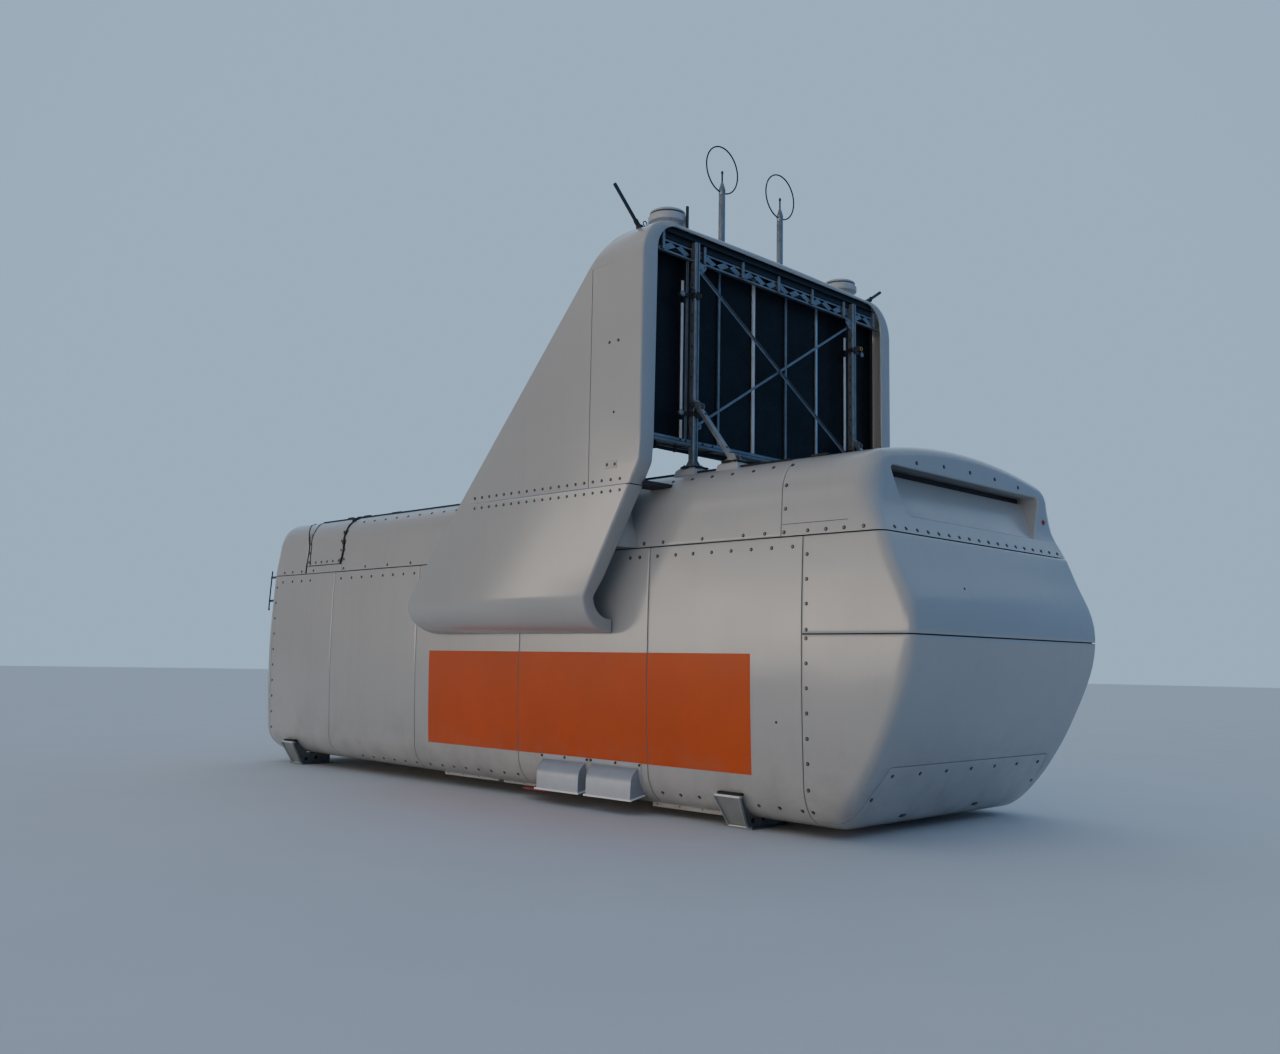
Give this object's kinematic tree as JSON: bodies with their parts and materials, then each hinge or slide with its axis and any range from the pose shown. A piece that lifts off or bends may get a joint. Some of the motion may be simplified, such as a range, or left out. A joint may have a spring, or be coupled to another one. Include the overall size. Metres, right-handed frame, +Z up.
{
  "type": "wind turbine nacelle",
  "caption": "Closed nacelle housing with a roof-mounted cooler under a hood between two sloping side fairings, with sensor masts, beacons, side vents and transport feet.",
  "frame": {"origin": "centre of the bounding box's base, on the ground between the feet", "axes": "+X along the housing towards its rear, where the cooler and the air outlet are; +Y towards the right side seen from the rear cap looking to the hub; +Z up"},
  "size_m": [12.8463, 5.468, 8.578],
  "materials": {
    "gelcoat_shell": "glossy light grey gelcoat on glass fibre",
    "galvanised_steel": "hot-dip galvanised, dull",
    "bright_sheet": "mill-finish sheet and bars",
    "radiator_black": "matt black radiator fins",
    "beacon_body": "pale grey housing with a clear band",
    "dark_steel": "dark painted steel",
    "orange_film": "plain orange film, satin",
    "black_rubber": "black rubber seals and hoses",
    "bolt_steel": "stainless bolt heads, weathered"
  },
  "bodies": {
    "root": {"side_panel_left_1": "gelcoat_shell", "side_panel_left_2": "gelcoat_shell", "side_panel_left_3": "gelcoat_shell", "side_panel_left_4": "gelcoat_shell", "side_panel_left_5": "gelcoat_shell", "side_panel_right_1": "gelcoat_shell", "side_panel_right_2": "gelcoat_shell", "side_panel_right_3": "gelcoat_shell", "side_panel_right_4": "gelcoat_shell", "side_panel_right_5": "gelcoat_shell", "roof_skirt_left": "gelcoat_shell", "roof_skirt_right": "gelcoat_shell", "roof_hatch_cover_left": "gelcoat_shell", "roof_hatch_cover_right": "gelcoat_shell", "roof_panel": "gelcoat_shell", "floor_panel": "gelcoat_shell", "front_shell": "gelcoat_shell", "front_roof_cap": "gelcoat_shell", "rear_upper_cap": "gelcoat_shell", "rear_middle_shell": "gelcoat_shell", "rear_lower_shell": "gelcoat_shell", "rear_bottom_cover": "gelcoat_shell", "hub_opening_cover": "gelcoat_shell", "hub_flange": "dark_steel", "fairing_left_lower": "gelcoat_shell", "fairing_left_front": "gelcoat_shell", "fairing_left_rear": "gelcoat_shell", "fairing_right_lower": "gelcoat_shell", "fairing_right_front": "gelcoat_shell", "fairing_right_rear": "gelcoat_shell", "cooler_hood": "gelcoat_shell", "fairing_bracket_left_lower": "gelcoat_shell", "fairing_bracket_right_lower": "gelcoat_shell", "fairing_bracket_left_upper": "dark_steel", "fairing_bracket_right_upper": "dark_steel", "radiator_cores": "radiator_black", "radiator_grid": "bright_sheet", "radiator_ledge": "dark_steel", "cooler_bottom_beam": "galvanised_steel", "cooler_top_truss": "galvanised_steel", "cooler_post_left": "galvanised_steel", "cooler_post_right": "galvanised_steel", "cooler_strut_left": "galvanised_steel", "cooler_strut_right": "galvanised_steel", "cooler_brace_front": "galvanised_steel", "cooler_brace_back": "galvanised_steel", "beacon_left": "beacon_body", "beacon_right": "beacon_body", "sensor_mast_left": "galvanised_steel", "sensor_mast_right": "galvanised_steel", "lightning_rod_left": "dark_steel", "lightning_rod_right": "dark_steel", "foot_rear_left": "galvanised_steel", "foot_rear_right": "galvanised_steel", "foot_front_left": "galvanised_steel", "foot_front_right": "galvanised_steel", "vent_hoods_left": "bright_sheet", "vent_hoods_right": "bright_sheet", "floor_rail_left": "gelcoat_shell", "floor_rail_right": "gelcoat_shell"}
  },
  "joints": []
}
